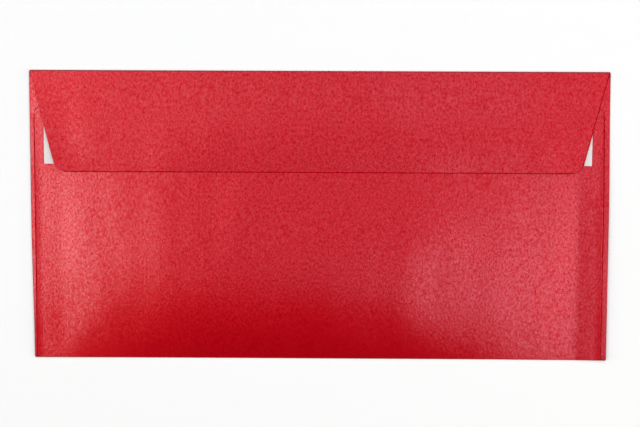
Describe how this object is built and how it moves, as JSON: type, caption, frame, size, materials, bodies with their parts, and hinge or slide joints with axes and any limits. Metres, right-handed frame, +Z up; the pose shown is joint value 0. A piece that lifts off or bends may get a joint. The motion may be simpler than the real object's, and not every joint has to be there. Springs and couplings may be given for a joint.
{
  "type": "peel-and-seal envelope",
  "caption": "Slim paper pocket envelope, longer side opening, with a wide slant-sided flap that hinges at the top crease and seals with adhesive under a peel-off liner.",
  "frame": {"origin": "centre of the front panel's outer face, which lies on the table, under the middle of the envelope", "axes": "+X along the envelope's length, +Y from the bottom crease to the top crease where the closure flap hinges, +Z up from the front panel to the back panel"},
  "size_m": [0.22, 0.11, 0.0023],
  "materials": {
    "pearl_paper": "pearlescent, satin",
    "creased_paper": "pearlescent, satin, worn by the crease",
    "hot_melt": "smooth",
    "silicone_paper": "smooth, semi-matte"
  },
  "bodies": {
    "pocket": {"front_panel": "pearl_paper", "bottom_crease": "creased_paper", "left_crease": "creased_paper", "right_crease": "creased_paper", "top_crease": "creased_paper", "left_side_flap": "pearl_paper", "right_side_flap": "pearl_paper", "left_seam_glue": "hot_melt", "right_seam_glue": "hot_melt", "back_panel": "pearl_paper"},
    "flap": {"closure_flap": "pearl_paper", "seal_adhesive": "hot_melt"},
    "liner": {"release_liner": "silicone_paper"}
  },
  "joints": [
    {"name": "flap_hinge", "type": "hinge", "parent": "pocket", "child": "flap", "pos_m": [0, 0.0546, 0.0004], "axis": [-1, 0, 0], "range_deg": [0, 177.5], "deforming": ["top_crease"]},
    {"name": "liner_peel", "type": "slide", "parent": "flap", "child": "liner", "axis": [1, 0, 0], "range_m": [0, 0.21]}
  ]
}
